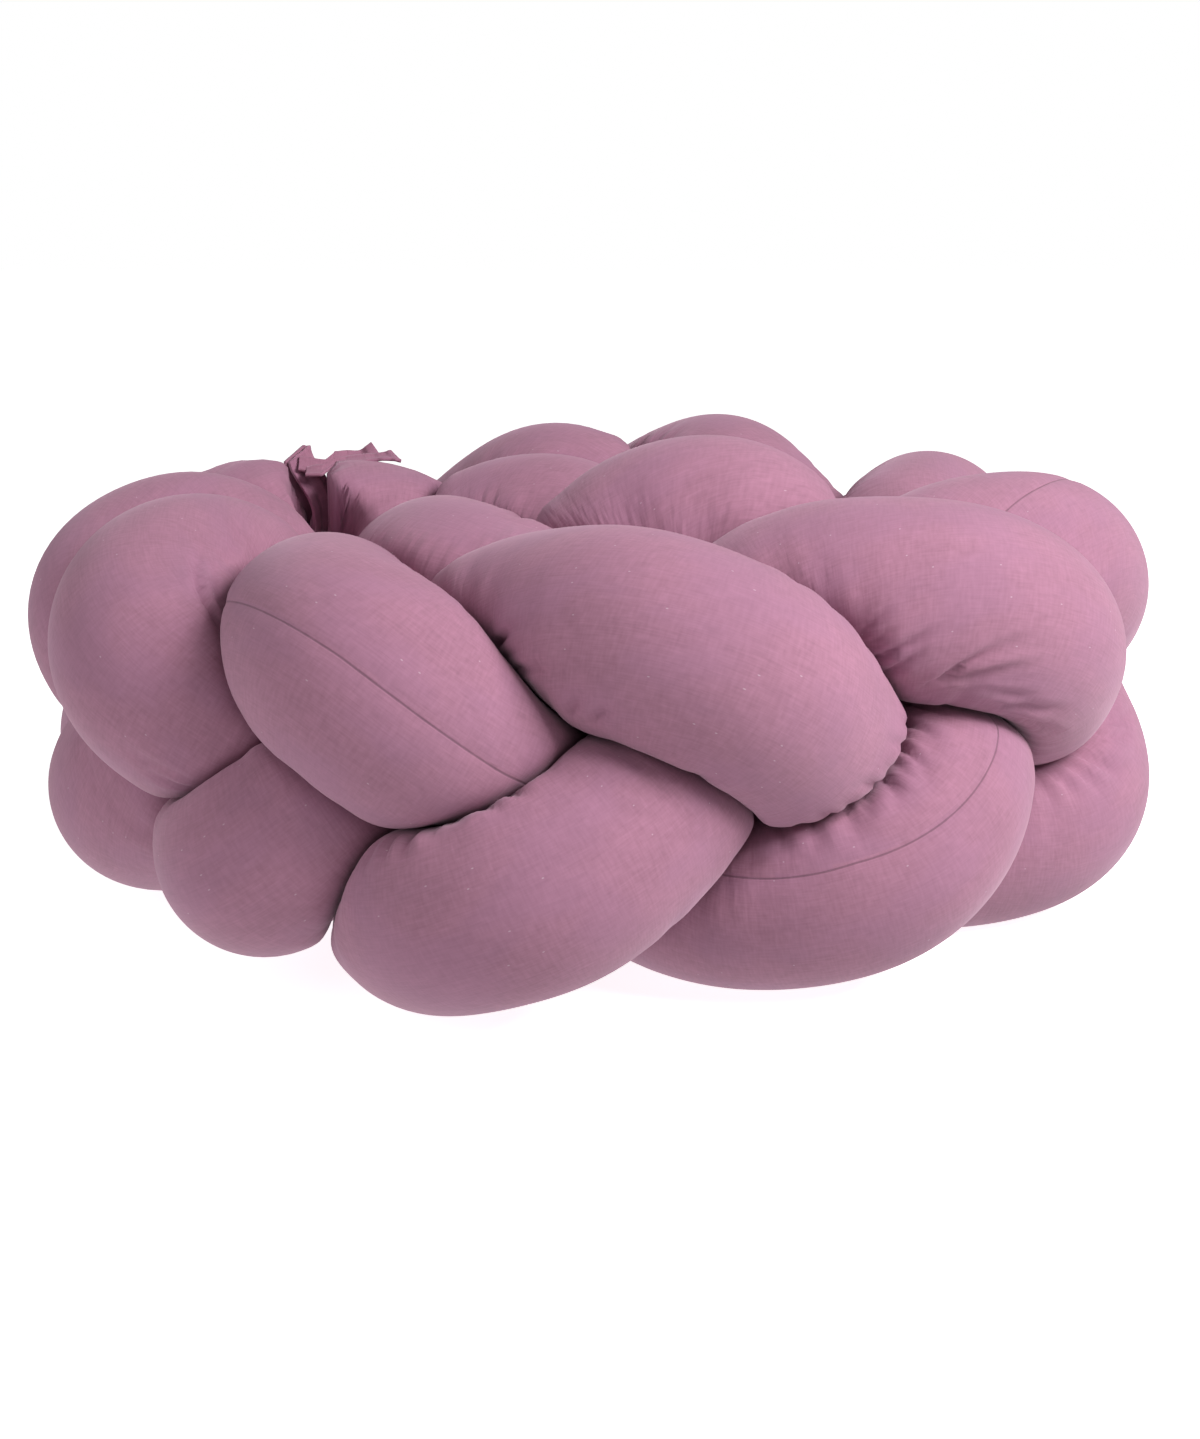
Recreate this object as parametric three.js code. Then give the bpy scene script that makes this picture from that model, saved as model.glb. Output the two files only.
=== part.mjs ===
// A braided crib bumper: three filled cloth tubes plaited flat, stood on edge and coiled in two turns.
// Millimetres and degrees, +Z up. Until the last step, reach is measured from the coil's own middle.
// An azimuth of 0 faces the front (-Y), and 90 faces the right (+X).

import * as THREE from 'three';

// The filled tubes. Where nothing presses on one it is round, with the plump radius.
const STRAND_NAMES = ['strand_a', 'strand_b', 'strand_c'];
const PLUMP_RADIUS = 49;
const SMALLEST_RADIUS = 2;
const FLOOR_GIVE = 22;
const OVER_UNDER_SWING = 31;
const TIGHT_TURN_SWING = 0.27;
const PIECE_GAP = 4;
const END_PIECE_GAP = 8;
const END_GAP_LENGTH = 160;
const CONTACT_SHARPNESS = 7;
const NEIGHBOUR_REACH = 150;
const SAME_STRAND_DISTANCE = 110;
const TIGHTEST_BEND_SHARE = 0.7;

// The coil runs from its outer end, at the back left, to its inner end.
// A lobe number counts the places where a strand comes over the upper edge of the wall.
const OUTER_END_LOBE = -1;
const INNER_END_LOBE = 17.5;
const CALM_LOBES = 1.5;
// Where one tube leaves the even plait, as the photo shows: its strand, the lobe number in the middle
// of the shift, how many lobes it spreads over, and the shift in degrees and millimetres.
const SHIFTS = [
  { strand: 0, lobe: 3.05, spread: 0.4, azimuth: 3.5, reach: 0, height: 3 },
  { strand: 2, lobe: 2.65, spread: 0.4, azimuth: 4, reach: 6, height: 0 },
  { strand: 1, lobe: 4.6, spread: 0.3, azimuth: -2.5, reach: 0, height: 2 },
  { strand: 1, lobe: 10.1, spread: 0.7, azimuth: 4, reach: 0, height: 0 },
  { strand: 1, lobe: 9.45, spread: 0.35, azimuth: 0, reach: 0, height: -16 },
  { strand: 0, lobe: 9.5, spread: 0.6, azimuth: -3, reach: 0, height: 0 },
];

// Where a strand crosses the upper edge, one row a lobe. reach is from the coil's middle.
const FIRST_UPPER_LOBE = -2;
const UPPER_LOBES = [
  { azimuth: -139, reach: 208, height: 156 },
  { azimuth: -126, reach: 210, height: 156 },
  { azimuth: -113, reach: 206, height: 156 },
  { azimuth: -92, reach: 203, height: 154 },
  { azimuth: -66, reach: 204, height: 154 },
  { azimuth: -38, reach: 203, height: 148 },
  { azimuth: 1, reach: 200, height: 161 },
  { azimuth: 41, reach: 202, height: 166 },
  { azimuth: 79, reach: 205, height: 163 },
  { azimuth: 117, reach: 206, height: 159 },
  { azimuth: 158, reach: 204, height: 168 },
  { azimuth: 189, reach: 198, height: 164 },
  { azimuth: 223, reach: 182, height: 149 },
  { azimuth: 262, reach: 112, height: 122 },
  { azimuth: 313, reach: 98, height: 154 },
  { azimuth: 396, reach: 90, height: 184 },
  { azimuth: 443, reach: 84, height: 150 },
  { azimuth: 488, reach: 94, height: 163 },
  { azimuth: 558, reach: 102, height: 156 },
  { azimuth: 584, reach: 90, height: 156 },
  { azimuth: 610, reach: 78, height: 156 },
];

// Where a strand crosses the lower edge, half a lobe after each upper one.
const FIRST_LOWER_LOBE = -1.5;
const LOWER_LOBES = [
  { azimuth: -132.5, reach: 208, height: 41 },
  { azimuth: -119.5, reach: 208, height: 42 },
  { azimuth: -105, reach: 205, height: 43 },
  { azimuth: -84, reach: 198, height: 48 },
  { azimuth: -49, reach: 191, height: 49 },
  { azimuth: -18, reach: 211, height: 43 },
  { azimuth: 20.5, reach: 190, height: 48 },
  { azimuth: 62, reach: 195, height: 46 },
  { azimuth: 99, reach: 212, height: 43 },
  { azimuth: 140, reach: 208, height: 43 },
  { azimuth: 174, reach: 208, height: 43 },
  { azimuth: 203, reach: 194, height: 43 },
  { azimuth: 237, reach: 141, height: 43 },
  { azimuth: 284, reach: 98, height: 43 },
  { azimuth: 354, reach: 90, height: 43 },
  { azimuth: 420, reach: 84, height: 43 },
  { azimuth: 466, reach: 84, height: 43 },
  { azimuth: 524, reach: 96, height: 43 },
  { azimuth: 570, reach: 96, height: 43 },
  { azimuth: 597, reach: 84, height: 41 },
  { azimuth: 620, reach: 72, height: 43 },
];

// The ends of the tubes, pressed flat one above another
const END_FLAT_LENGTH = 20;
const END_TAPER = 45;
const END_HALF_THICKNESS = 4;
const END_HALF_HEIGHT = 26;

// The band folded over the outer end, from one side round to the other
const BAND_LEG = 16;
const BAND_CLOTH = 2;
const BAND_HALF_GAP = 4.6;
const BAND_PINCHED_HALF_GAP = 0.8;
const BAND_PINCH_HEIGHT = 178;
const BAND_FOOT = 12;
const BAND_TOP = 198;
const BAND_PEAK = 8;
const BAND_LEAN = 12;
const BAND_LEAN_HEIGHT = 170;
const BAND_LEVELS = 10;
const BAND_POSTS = [-16, -8, 0, 4];
const BAND_POST_RADIUS = 15;

// Two flat ties with slanted free ends. They start beside the band's top and lie over the next lobe.
// right, back and up are from the band's top. tilt leans the flat side towards the front.
const TIE_WIDTH = 9;
const TIE_CLOTH = 1.6;
const TIE_CUT = 3;
const TIE_ROOT_BEYOND = 8;
const TIES = {
  tie_upper: [
    { right: 0, back: 2, up: 0, tilt: 55 },
    { right: 10, back: 3, up: 3, tilt: 35 },
    { right: 22, back: 4, up: 3.5, tilt: 22 },
    { right: 33, back: 4, up: 4, tilt: 22 },
    { right: 42, back: 5, up: 7, tilt: 40 },
  ],
  tie_lower: [
    { right: 5, back: -9, up: 0, tilt: 35 },
    { right: 12, back: -8, up: 2, tilt: 25 },
    { right: 26, back: -8, up: 3.5, tilt: 14 },
    { right: 42, back: -6, up: 3.5, tilt: 14 },
    { right: 55, back: -6, up: 3.5, tilt: 25 },
  ],
};

// How finely the solids are stepped
const ROUTE_STEPS = 3000;
const SAMPLE_SPACING = 5;
const BEND_STEP = 12;
const RING_SPACING = 20;
const END_RINGS = [0, 18, 28, 42];
const SIDE_COUNT = 14;
const TIE_RINGS = 13;

const CLOTH_COLOUR = 0x9a6a85;
const CLOTH_ROUGHNESS = 0.9;

const degrees = THREE.MathUtils.degToRad;

// A smooth value through the rows of a table, at a lobe number between them
function readTable(rows, firstLobe, lobe, column) {
  const at = THREE.MathUtils.clamp(lobe - firstLobe, 0, rows.length - 1.001);
  const index = Math.floor(at);
  const t = at - index;
  const value = (i) => rows[THREE.MathUtils.clamp(i, 0, rows.length - 1)][column];
  const from = value(index);
  const to = value(index + 1);
  const slopeFrom = (to - value(index - 1)) / 2;
  const slopeTo = (value(index + 2) - from) / 2;
  return (2 * t ** 3 - 3 * t ** 2 + 1) * from + (t ** 3 - 2 * t ** 2 + t) * slopeFrom
    + (3 * t ** 2 - 2 * t ** 3) * to + (t ** 3 - t ** 2) * slopeTo;
}

// The lobe number that the plaiting has reached. It slows to a stop over the last stretch at either end.
function plaitedLobe(lobe) {
  const ease = (distance) => (
    distance < CALM_LOBES ? (distance ** 2 / CALM_LOBES + CALM_LOBES) / 2 : distance
  );
  const middle = (OUTER_END_LOBE + INNER_END_LOBE) / 2;
  if (lobe < middle) return OUTER_END_LOBE + ease(lobe - OUTER_END_LOBE);
  return INNER_END_LOBE - ease(INNER_END_LOBE - lobe);
}

// A strand's centreline: it sways between the two edges once in three lobes, and out and in twice
function routePoint(strand, lobe) {
  const phase = 2 * Math.PI * (plaitedLobe(lobe) - strand) / 3;
  const upperShare = 0.5 + 0.5 * Math.cos(phase);
  const shift = (column) => SHIFTS.filter((row) => row.strand === strand)
    .reduce((sum, row) => sum + row[column] * Math.exp(-(((lobe - row.lobe) / row.spread) ** 2)), 0);
  const blend = (column) => upperShare * readTable(UPPER_LOBES, FIRST_UPPER_LOBE, lobe, column)
    + (1 - upperShare) * readTable(LOWER_LOBES, FIRST_LOWER_LOBE, lobe, column) + shift(column);
  const fromEnd = Math.min(lobe - OUTER_END_LOBE, INNER_END_LOBE - lobe) / CALM_LOBES;
  const middle = blend('reach');
  const fullSwing = Math.min(OVER_UNDER_SWING, TIGHT_TURN_SWING * middle);
  const swing = fullSwing * THREE.MathUtils.smoothstep(fromEnd, 0, 1);
  const reach = middle + swing * Math.sin(2 * phase);
  const azimuth = degrees(blend('azimuth'));
  return new THREE.Vector3(reach * Math.sin(azimuth), -reach * Math.cos(azimuth), blend('height'));
}

// A point of the upright end of the wall: beyond it along the wall's run, and to its inner side
function bandPoint(height, alongBand, inward) {
  const beyond = alongBand + END_FLAT_LENGTH;
  const lower = (column) => readTable(LOWER_LOBES, FIRST_LOWER_LOBE, OUTER_END_LOBE, column);
  const upper = (column) => readTable(UPPER_LOBES, FIRST_UPPER_LOBE, OUTER_END_LOBE, column);
  const share = (height - lower('height')) / (upper('height') - lower('height'));
  const lean = BAND_LEAN * THREE.MathUtils.smoothstep(height, BAND_LEAN_HEIGHT, BAND_TOP);
  const reach = THREE.MathUtils.lerp(lower('reach'), upper('reach'), share) + lean - inward;
  const azimuth = degrees(THREE.MathUtils.lerp(lower('azimuth'), upper('azimuth'), share));
  return new THREE.Vector3(
    reach * Math.sin(azimuth) - beyond * Math.cos(azimuth),
    -reach * Math.cos(azimuth) - beyond * Math.sin(azimuth),
    height,
  );
}

// The band's section: two legs joined by a round fold, as (beyond, inward) points
function bandSection(halfGap) {
  const fold = (radius, turns) => turns.map((turn) => {
    const angle = degrees(turn);
    return new THREE.Vector2(radius * Math.cos(angle), radius * Math.sin(angle));
  });
  const outer = halfGap + BAND_CLOTH;
  return [
    new THREE.Vector2(-BAND_LEG, -outer),
    ...fold(outer, [-90, -45, 0, 45, 90]),
    new THREE.Vector2(-BAND_LEG, outer),
    new THREE.Vector2(-BAND_LEG, halfGap),
    ...fold(halfGap, [90, 45, 0, -45, -90]),
    new THREE.Vector2(-BAND_LEG, -halfGap),
  ];
}

function bandGeometry() {
  const positions = [];
  for (let level = 0; level < BAND_LEVELS; level += 1) {
    const share = level / (BAND_LEVELS - 1);
    const height = THREE.MathUtils.lerp(BAND_FOOT, BAND_TOP, share);
    const pinch = THREE.MathUtils.smoothstep(height, BAND_PINCH_HEIGHT, BAND_TOP);
    const section = bandSection(THREE.MathUtils.lerp(BAND_HALF_GAP, BAND_PINCHED_HALF_GAP, pinch));
    for (const { x, y } of section) {
      const peak = BAND_PEAK * (1 - Math.abs(x) / BAND_LEG) * share ** 4;
      const at = bandPoint(height, x, y);
      positions.push(at.x, at.y, at.z + peak);
    }
  }
  return solidFromRings(positions, BAND_LEVELS, bandSection(BAND_HALF_GAP));
}

// A tie: a flat strip along its rows, with its far end cut on a slant
function tieGeometry(rows) {
  const root = bandPoint(BAND_TOP, TIE_ROOT_BEYOND, 0);
  const read = (at, column) => readTable(rows, 0, at, column);
  const section = [[-1, -1], [1, -1], [1, 1], [-1, 1]].map(([across, up]) => new THREE.Vector2(across, up));
  const positions = [];
  for (let ring = 0; ring < TIE_RINGS; ring += 1) {
    const share = ring / (TIE_RINGS - 1);
    const at = share * (rows.length - 1);
    const tilt = degrees(read(at, 'tilt'));
    const middle = new THREE.Vector3(read(at, 'right'), read(at, 'back'), read(at, 'up')).add(root);
    for (const { x, y } of section) {
      const across = x * TIE_WIDTH / 2;
      const up = y * TIE_CLOTH / 2;
      positions.push(
        middle.x + x * TIE_CUT * share,
        middle.y - across * Math.cos(tilt) - up * Math.sin(tilt),
        middle.z - across * Math.sin(tilt) + up * Math.cos(tilt),
      );
    }
  }
  return solidFromRings(positions, TIE_RINGS, section);
}

// A strand's route with the distance travelled at each of its points
function measureRoute(strand) {
  const points = [];
  for (let i = 0; i <= ROUTE_STEPS; i += 1) {
    points.push(routePoint(strand, THREE.MathUtils.lerp(OUTER_END_LOBE, INNER_END_LOBE, i / ROUTE_STEPS)));
  }
  points.unshift(straightOn(points[0], -END_FLAT_LENGTH));
  points.push(straightOn(points[points.length - 1], END_FLAT_LENGTH));
  const travelled = [0];
  points.slice(1).forEach((point, i) => travelled.push(travelled[i] + point.distanceTo(points[i])));
  return { points, travelled, length: travelled[travelled.length - 1] };
}

// A point moved level along the wall's run, away from the coil's middle line
function straightOn(point, distance) {
  const run = new THREE.Vector3(-point.y, point.x, 0).normalize();
  return point.clone().addScaledVector(run, distance);
}

// The point that lies a given distance along a route
function pointAlong(route, distance) {
  let before = 0;
  let after = route.points.length - 1;
  while (after - before > 1) {
    const middle = Math.floor((before + after) / 2);
    if (route.travelled[middle] <= distance) before = middle;
    else after = middle;
  }
  const share = (distance - route.travelled[before]) / (route.travelled[after] - route.travelled[before]);
  return route.points[before].clone().lerp(route.points[after], share);
}

// Even samples of a route, for its neighbours to keep away from
function sampleRoute(route) {
  const count = Math.round(route.length / SAMPLE_SPACING);
  return Array.from({ length: count + 1 }, (_, i) => {
    const distance = route.length * i / count;
    return { at: pointAlong(route, distance), distance };
  });
}

// Where the rings of a tube lie: close together at the flat ends, even between them
function ringDistances(length) {
  const near = END_RINGS;
  const last = near[near.length - 1];
  const evenLength = length - 2 * last;
  const count = Math.round(evenLength / RING_SPACING);
  const even = Array.from({ length: count - 1 }, (_, i) => last + evenLength * (i + 1) / count);
  const far = near.map((distance) => length - distance).reverse();
  return [...near, ...even, ...far];
}

// How far a ray from one centreline may go before it is nearer to another one
function halfwayDistance(from, ray, neighbours, gap) {
  let nearest = Infinity;
  for (const other of neighbours) {
    const away = other.clone().sub(from);
    const along = away.dot(ray);
    if (along > 0) nearest = Math.min(nearest, away.lengthSq() / (2 * along));
  }
  return Math.max(nearest - gap / 2, SMALLEST_RADIUS);
}

// How far a ray may go before it meets the band, taken as a row of upright posts
function bandDistance(from, ray) {
  const level = Math.hypot(ray.x, ray.y);
  let nearest = Infinity;
  for (const beyond of BAND_POSTS) {
    const away = bandPoint(from.z, beyond, 0).sub(from);
    const along = (away.x * ray.x + away.y * ray.y) / level;
    const squared = away.x ** 2 + away.y ** 2;
    const inside = along ** 2 - squared + BAND_POST_RADIUS ** 2;
    if (along > 0 && inside > 0) nearest = Math.min(nearest, (along - Math.sqrt(inside)) / level);
  }
  return Math.max(nearest, SMALLEST_RADIUS);
}

// The radius that a free tube has, thinned to a flat upright edge at either end
function freeRadius(fromEnd, angle) {
  const share = THREE.MathUtils.clamp((fromEnd - END_FLAT_LENGTH) / END_TAPER, 0, 1);
  const round = Math.sqrt(1 - (1 - share) ** 2);
  const thickness = THREE.MathUtils.lerp(END_HALF_THICKNESS, PLUMP_RADIUS, round);
  const height = THREE.MathUtils.lerp(END_HALF_HEIGHT, PLUMP_RADIUS, round);
  return 1 / Math.hypot(Math.cos(angle) / thickness, Math.sin(angle) / height);
}

// One filled tube. Its skin swells freely, stops half-way to whatever presses on it, and rests on the
// floor, which flattens it a little.
function strandGeometry(strand, routes, allSamples) {
  const route = routes[strand];
  const distances = ringDistances(route.length);
  const positions = [];
  for (const distance of distances) {
    const at = pointAlong(route, distance);
    const before = pointAlong(route, Math.max(distance - BEND_STEP, 0));
    const after = pointAlong(route, Math.min(distance + BEND_STEP, route.length));
    const tangent = after.clone().sub(before).normalize();
    const bend = after.clone().add(before).addScaledVector(at, -2).divideScalar(BEND_STEP ** 2);
    const outward = new THREE.Vector3(at.x, at.y, 0).normalize();
    outward.addScaledVector(tangent, -outward.dot(tangent)).normalize();
    const upward = outward.clone().cross(tangent).normalize();
    const fromEnd = Math.min(distance, route.length - distance);
    const awayFromEnd = THREE.MathUtils.smoothstep(fromEnd, 0, END_GAP_LENGTH);
    const gap = THREE.MathUtils.lerp(END_PIECE_GAP, PIECE_GAP, awayFromEnd);
    const groups = allSamples.map((samples, other) => samples
      .filter((sample) => sample.at.distanceTo(at) < NEIGHBOUR_REACH
        && (other !== strand || Math.abs(sample.distance - distance) > SAME_STRAND_DISTANCE))
      .map((sample) => sample.at));
    for (let side = 0; side < SIDE_COUNT; side += 1) {
      const angle = 2 * Math.PI * side / SIDE_COUNT;
      const ray = outward.clone().multiplyScalar(Math.cos(angle)).addScaledVector(upward, Math.sin(angle));
      const limits = groups.map((group) => halfwayDistance(at, ray, group, gap));
      limits.push(freeRadius(fromEnd, angle));
      if (ray.z < 0) limits.push((at.z + FLOOR_GIVE) / -ray.z);
      limits.push(TIGHTEST_BEND_SHARE / Math.max(bend.dot(ray), Number.EPSILON));
      if (fromEnd > END_FLAT_LENGTH + END_TAPER) limits.push(bandDistance(at, ray));
      const sum = limits.reduce((total, limit) => total + limit ** -CONTACT_SHARPNESS, 0);
      const skin = at.clone().addScaledVector(ray, sum ** (-1 / CONTACT_SHARPNESS));
      positions.push(skin.x, skin.y, Math.max(skin.z, 0));
    }
  }
  const outline = Array.from({ length: SIDE_COUNT }, (_, side) => {
    const angle = 2 * Math.PI * side / SIDE_COUNT;
    return new THREE.Vector2(Math.cos(angle), Math.sin(angle));
  });
  return solidFromRings(positions, distances.length, outline);
}

// A closed solid from rings of points, capped over the first and the last ring by the outline's triangles
function solidFromRings(positions, rings, outline) {
  const sides = outline.length;
  const indices = [];
  for (let ring = 0; ring < rings - 1; ring += 1) {
    for (let side = 0; side < sides; side += 1) {
      const a = ring * sides + side;
      const b = ring * sides + (side + 1) % sides;
      indices.push(a, a + sides, b, b, a + sides, b + sides);
    }
  }
  const cap = THREE.ShapeUtils.triangulateShape(outline, []);
  const last = (rings - 1) * sides;
  for (const [a, b, c] of cap) {
    indices.push(a, b, c);
    indices.push(last + a, last + c, last + b);
  }
  const geometry = new THREE.BufferGeometry();
  geometry.setAttribute('position', new THREE.Float32BufferAttribute(positions, 3));
  geometry.setIndex(indices);
  return geometry;
}

function addPiece(group, name, geometry) {
  geometry.computeVertexNormals();
  const cloth = new THREE.MeshStandardMaterial({
    color: CLOTH_COLOUR, roughness: CLOTH_ROUGHNESS, metalness: 0,
  });
  const mesh = new THREE.Mesh(geometry, cloth);
  mesh.name = name;
  group.add(mesh);
}

const bumper = new THREE.Group();
const routes = STRAND_NAMES.map((name, strand) => measureRoute(strand));
const samples = routes.map(sampleRoute);
STRAND_NAMES.forEach((name, strand) => addPiece(bumper, name, strandGeometry(strand, routes, samples)));
addPiece(bumper, 'end_band', bandGeometry());
Object.entries(TIES).forEach(([name, rows]) => addPiece(bumper, name, tieGeometry(rows)));

// The origin is brought to the middle of the box around the pieces, on the floor
const box = new THREE.Box3().setFromObject(bumper);
const middle = box.getCenter(new THREE.Vector3());
bumper.children.forEach((mesh) => mesh.geometry.translate(-middle.x, -middle.y, -box.min.z));

export default bumper;
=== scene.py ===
"""A braided crib bumper: three filled cloth tubes plaited flat, stood on edge and coiled in two turns."""
import math

import bpy
import numpy as np
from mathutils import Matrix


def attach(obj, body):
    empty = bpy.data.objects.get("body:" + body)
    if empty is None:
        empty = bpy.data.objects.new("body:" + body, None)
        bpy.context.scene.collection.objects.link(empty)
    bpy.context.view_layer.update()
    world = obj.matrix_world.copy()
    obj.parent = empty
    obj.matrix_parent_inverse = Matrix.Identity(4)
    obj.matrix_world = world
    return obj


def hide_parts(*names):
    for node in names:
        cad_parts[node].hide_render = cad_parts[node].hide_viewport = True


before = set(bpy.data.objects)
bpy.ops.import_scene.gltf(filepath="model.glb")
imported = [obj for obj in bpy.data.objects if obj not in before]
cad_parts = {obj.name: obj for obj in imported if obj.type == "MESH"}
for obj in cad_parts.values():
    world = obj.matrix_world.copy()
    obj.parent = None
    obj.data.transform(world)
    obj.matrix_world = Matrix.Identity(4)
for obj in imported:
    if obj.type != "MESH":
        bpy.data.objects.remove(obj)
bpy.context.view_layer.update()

MM = 0.001

# The coil's own middle, which the tables and the camera's place are measured from, in the row frame (mm)
COIL_MIDDLE = np.array([-2.82, 1.04, 0.0])

# The photograph's camera, from a least-squares fit to points read off the photo: place (mm), tilt down (deg),
# focal length and frame height (pixels)
CAMERA_PLACE = np.array([4.3, -1134.0, 346.0])
CAMERA_PITCH = 13.27
FOCAL_PIXELS = 2243.0
PHOTO_HEIGHT = 1439.0
SENSOR = 36.0
CAMERA_CLIP_START = 0.01

camera_data = bpy.data.cameras.new("camera")
camera_data.sensor_fit = "VERTICAL"
camera_data.sensor_height = SENSOR
camera_data.lens = SENSOR * FOCAL_PIXELS / PHOTO_HEIGHT
camera_data.clip_start = CAMERA_CLIP_START
camera = bpy.data.objects.new("camera", camera_data)
camera.location = (CAMERA_PLACE + COIL_MIDDLE) * MM
camera.rotation_euler = (math.radians(90 - CAMERA_PITCH), 0, 0)
bpy.context.scene.collection.objects.link(camera)
bpy.context.scene.camera = camera

# The braid's two edges, as in the CAD: azimuth (deg, 0 at the front), reach and height (mm)
FIRST_UPPER_LOBE = -2
UPPER_LOBES = np.array([
    [-139, 208, 156], [-126, 210, 156], [-113, 206, 156], [-92, 203, 154], [-66, 204, 154],
    [-38, 203, 148], [1, 200, 161], [41, 202, 166], [79, 205, 163], [117, 206, 159],
    [158, 204, 168], [189, 198, 164], [223, 182, 149], [262, 112, 122], [313, 98, 154],
    [396, 90, 184], [443, 84, 150], [488, 94, 163], [558, 102, 156], [584, 90, 156], [610, 78, 156],
], float)
FIRST_LOWER_LOBE = -1.5
LOWER_LOBES = np.array([
    [-132.5, 208, 41], [-119.5, 208, 42], [-105, 205, 43], [-84, 198, 48], [-49, 191, 49],
    [-18, 211, 43], [20.5, 190, 48], [62, 195, 46], [99, 212, 43], [140, 208, 43],
    [174, 208, 43], [203, 194, 43], [237, 141, 43], [284, 98, 43], [354, 90, 43],
    [420, 84, 43], [466, 84, 43], [524, 96, 43], [570, 96, 43], [597, 84, 41], [620, 72, 43],
], float)
# Where the tubes start and end, and how many lobes the plaiting takes to get going and to die out
OUTER_END_LOBE = -1.0
INNER_END_LOBE = 17.5
CALM_LOBES = 1.5
ROUTE_POINTS = 3001
# Where one tube leaves the even plait, as the photo shows: strand number, lobe number and reach of the shift
# along the braid (lobes), then the shift's azimuth (deg), reach and height (mm). The first six rows are the
# CAD's, with the fifth made deeper and longer here. The others are for the look alone.
SHIFTS = np.array([
    [0, 3.05, 0.4, 3.5, 0, 3],
    [2, 2.65, 0.4, 4, 6, 0],
    [1, 4.6, 0.3, -2.5, 0, 2],
    [1, 10.1, 0.7, 4, 0, 0],
    [1, 9.45, 0.38, 0, 0, -23],
    [0, 9.5, 0.6, -3, 0, 0],
    [2, 17.3, 0.5, 0, -8, -22],
    [1, 10.05, 0.4, 1.5, 0, 4],
    [2, 1.45, 0.35, 0, 14, -15],
    [2, 2.05, 0.3, 0, 0, 6],
    [1, 0.5, 0.35, 0, 12, -12],
    [1, 1.05, 0.3, 0, 0, 4],
    [0, 0.35, 0.35, 0, 0, -14],
    [1, 2.5, 0.35, 0, 0, 8],
    [0, 3.35, 0.3, 0.3, 0, 4],
    [2, 3.8, 0.3, -1.8, 2, 6],
    [1, 7.5, 0.35, 0, 0, -14],
    [1, 10.6, 0.35, 0, 0, -18],
    [0, 9.45, 0.3, 0, 0, -13],
], float)

# The filled tubes (lengths in mm)
STRANDS = ["a", "b", "c"]
PLUMP_RADIUS = 49.0
OVER_UNDER_SWING = 31.0
TIGHT_TURN_SWING = 0.27
PIECE_GAP = 0.7
END_PIECE_GAP = 3.0
END_GAP_LENGTH = 120.0
CONTACT_SHARPNESS = 14.0
NEIGHBOUR_REACH = 150.0
SAME_STRAND_DISTANCE = 110.0
SOFT_LUMPS = 1.1
LUMP_LENGTH = 90.0
LUMP_TURNS = 1.0
LUMP_LENGTHS = (0.7, 1.6)
LUMP_TURN_REACH = 3
TUBE_SEED = 70
TIGHTEST_BEND_SHARE = 0.72
FLOOR_GIVE = 22.0
LEAST_RADIUS = 2.0
LEAST_FACING = 1e-6
LEAST_DIVISOR = 1e-9
END_FLAT_LENGTH = 20.0
END_TAPER = 44.0
END_HALF_THICKNESS = 4.0
END_HALF_HEIGHT = 26.0
SAMPLE_SPACING = 4.0
RING_COUNT = 965
SIDE_COUNT = 100
LINE_POINTS = 3000
TURN_POINTS = 1441
# What the photo shows best: lobes and angles (deg). Rings and sides stand closer together there.
FRONT_LOBES = (1.2, 6.6)
FRONT_FADE = 0.3
FRONT_CLOSER = 1.7
NEAR_SIDE = (-60.0, 165.0)
NEAR_SIDE_FADE = 20.0
NEAR_SIDE_CLOSER = 2.1
BEND_STEP = 12.0
# Upright posts that keep the tubes off the band and out of the camera's view of it: how far along the band
# and inward of it (mm). The view posts stand on the camera's line of sight and fade in between two heights.
BAND_POSTS = [(-18, 10), (-10, 10), (-2, 10), (2, 10)]
BAND_POST_RADIUS = 8.0
VIEW_POSTS = [(-15.2, 23.3), (-26, 33.6), (-36.9, 44), (-47.6, 54.5)]
VIEW_POST_RADIUS = 12.0
VIEW_POST_FOOT = (70.0, 125.0)
LEAST_POST_STRENGTH = 1e-3
POST_CLEARANCE = 1.0
POST_REACH = 130.0
# How fast a post's hold on a ray fades as the ray passes beside it
POST_MISS = 2.5
# The band's own line: it leans outward from one height up to its top (mm)
BAND_LEAN = 12.0
BAND_LEAN_HEIGHT = 170.0
BAND_TOP = 198.0


def read_table(rows, first, lobe):
    """A smooth value through the rows, at lobe numbers between them."""
    at = np.clip(np.asarray(lobe, float) - first, 0, len(rows) - 1.001)
    index = np.floor(at).astype(int)
    t = (at - index)[..., None]
    last = len(rows) - 1
    before, start = rows[np.maximum(index - 1, 0)], rows[index]
    end, after = rows[np.minimum(index + 1, last)], rows[np.minimum(index + 2, last)]
    slope_start, slope_end = (end - before) / 2, (after - start) / 2
    return ((2 * t ** 3 - 3 * t ** 2 + 1) * start + (t ** 3 - 2 * t ** 2 + t) * slope_start
            + (3 * t ** 2 - 2 * t ** 3) * end + (t ** 3 - t ** 2) * slope_end)


def smoothstep(x, low, high):
    t = np.clip((x - low) / (high - low), 0, 1)
    return t * t * (3 - 2 * t)


def on_front(lobe):
    """One at the lobes of the photo's front, and zero away from them."""
    return smoothstep(lobe, FRONT_LOBES[0] - FRONT_FADE, FRONT_LOBES[0]) \
        * (1 - smoothstep(lobe, FRONT_LOBES[1], FRONT_LOBES[1] + FRONT_FADE))


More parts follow.
